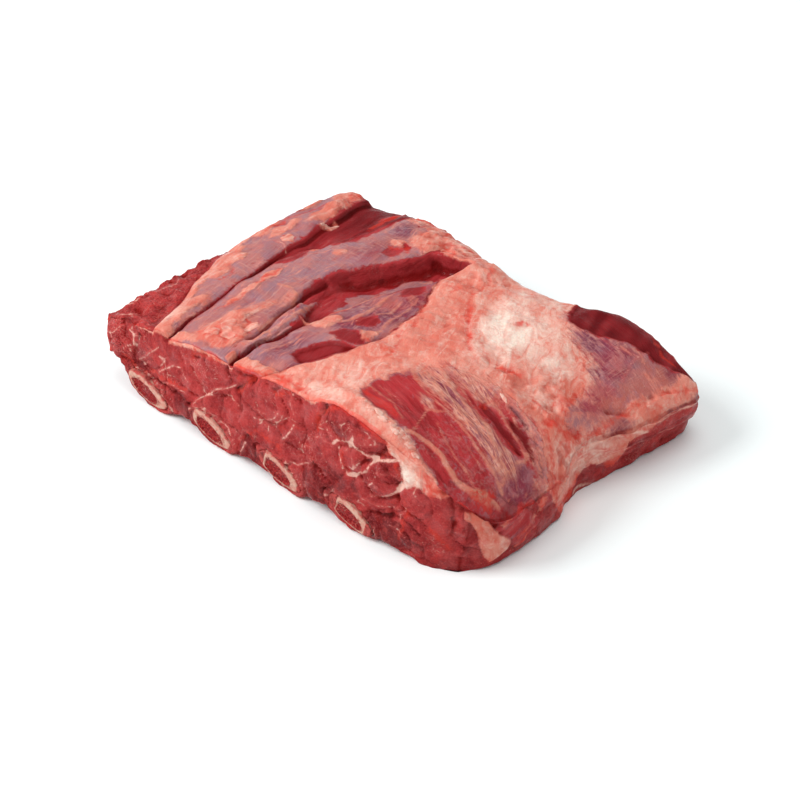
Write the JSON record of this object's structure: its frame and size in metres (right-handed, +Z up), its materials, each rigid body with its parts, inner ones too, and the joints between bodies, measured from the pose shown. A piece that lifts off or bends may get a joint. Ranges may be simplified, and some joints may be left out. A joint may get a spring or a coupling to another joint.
{
  "type": "raw beef chuck short rib",
  "caption": "Raw bone-in beef slab, thick at one side, with rib ends showing at its cut faces, lean strips and a pocket on top, and a fat cap with a window of lean meat.",
  "frame": {"origin": "on the board, under the middle of the plate's bounding box", "axes": "+X runs across the ribs along the cut front face towards the thick end's side, +Y runs along the ribs from the front cut to the back cut, +Z is up from the bone side"},
  "size_m": [0.262, 0.1881, 0.0692],
  "materials": {
    "raw_meat": "moist raw beef with cream to salmon fat and silverskin",
    "rib_bone": "sawn bone, pinkish white rim round a dark red spongy core"
  },
  "bodies": {
    "root": {"meat": "raw_meat", "rib_bone_1": "rib_bone", "rib_bone_2": "rib_bone", "rib_bone_3": "rib_bone", "rib_bone_4": "rib_bone"}
  },
  "joints": []
}
